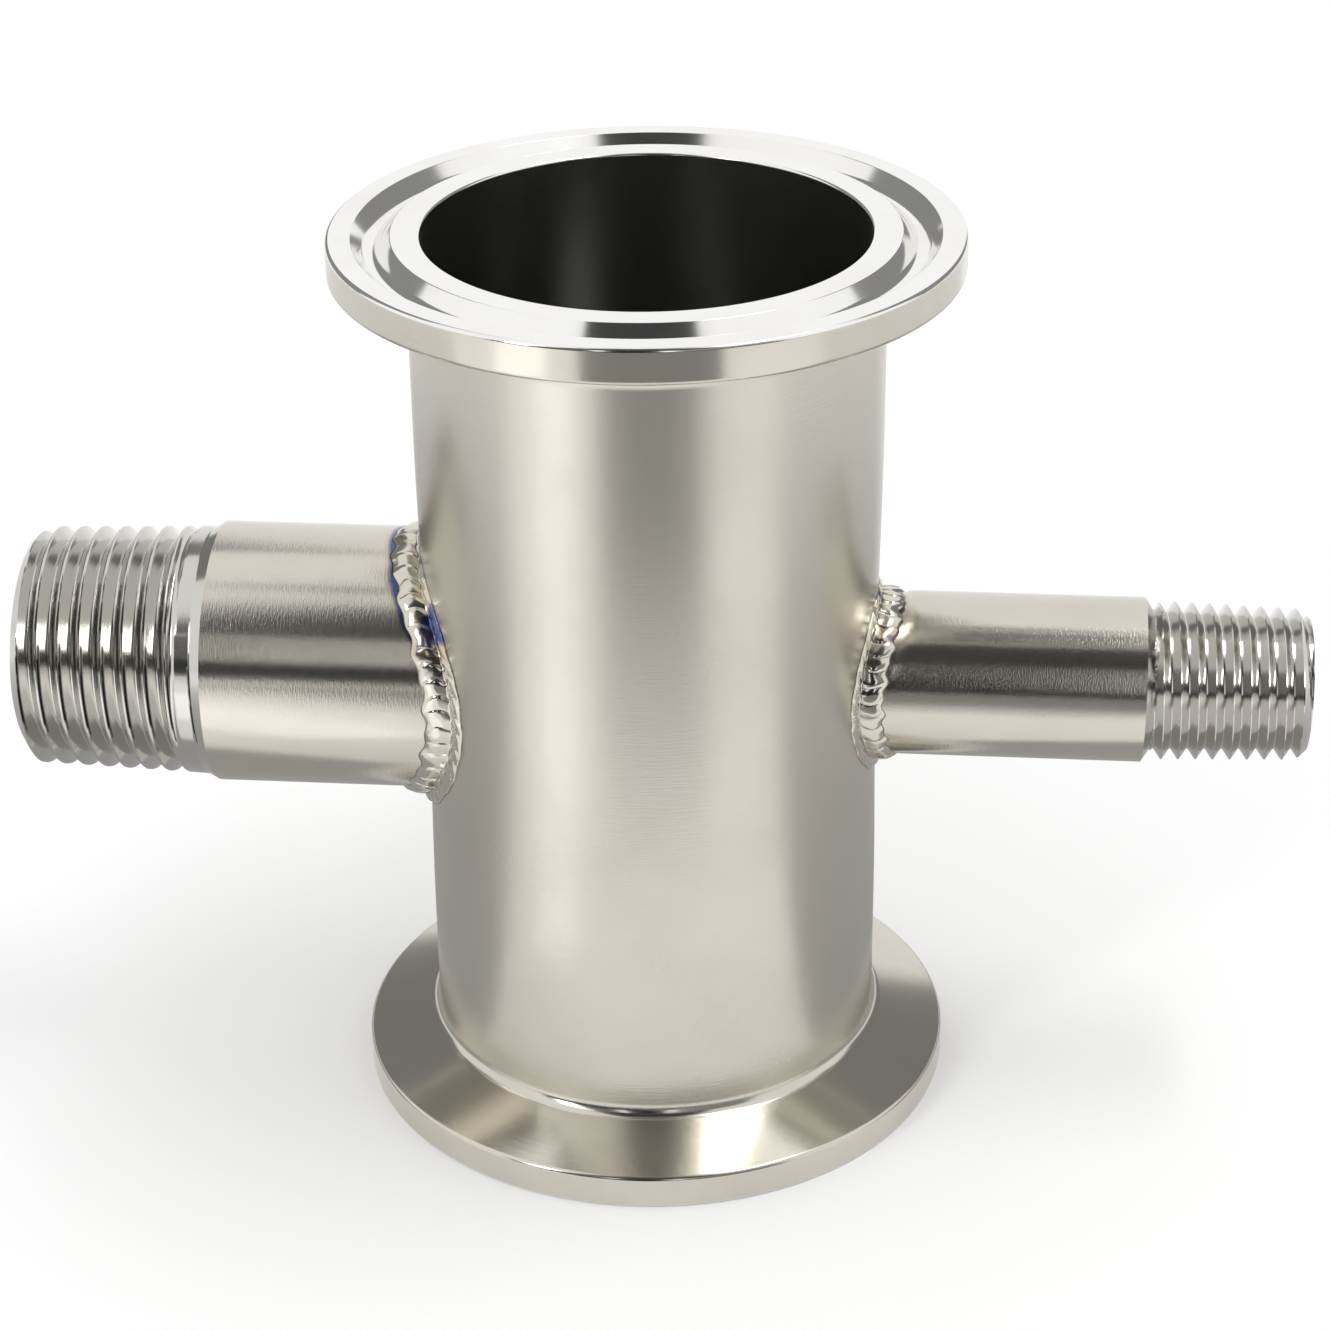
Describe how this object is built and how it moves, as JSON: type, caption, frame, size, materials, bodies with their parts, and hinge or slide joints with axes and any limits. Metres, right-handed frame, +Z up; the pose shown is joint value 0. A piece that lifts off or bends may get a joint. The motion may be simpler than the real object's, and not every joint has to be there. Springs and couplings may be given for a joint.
{
  "type": "sanitary spool pipe",
  "caption": "Short stainless sanitary tube with clamp ferrules at its ends and a larger and a smaller threaded nipple welded on opposite sides, for gauges, probes or drains.",
  "frame": {"origin": "centre of the bottom flange's face, on the bore's axis", "axes": "+Z up the bore to the other flange, +X the way the small nipple points, the large nipple points along -X"},
  "size_m": [0.1068, 0.0506, 0.0762],
  "materials": {
    "satin_steel": "satin, finely brushed round the tube",
    "polished_steel": "turned and polished",
    "turned_steel": "satin body, bright cut thread",
    "weld_metal": "rippled weld bead with blue and straw heat tint"
  },
  "bodies": {
    "root": {"body_tube": "satin_steel", "top_ferrule": "polished_steel", "bottom_ferrule": "polished_steel", "large_nipple": "turned_steel", "small_nipple": "turned_steel", "large_nipple_weld": "weld_metal", "small_nipple_weld": "weld_metal"}
  },
  "joints": []
}
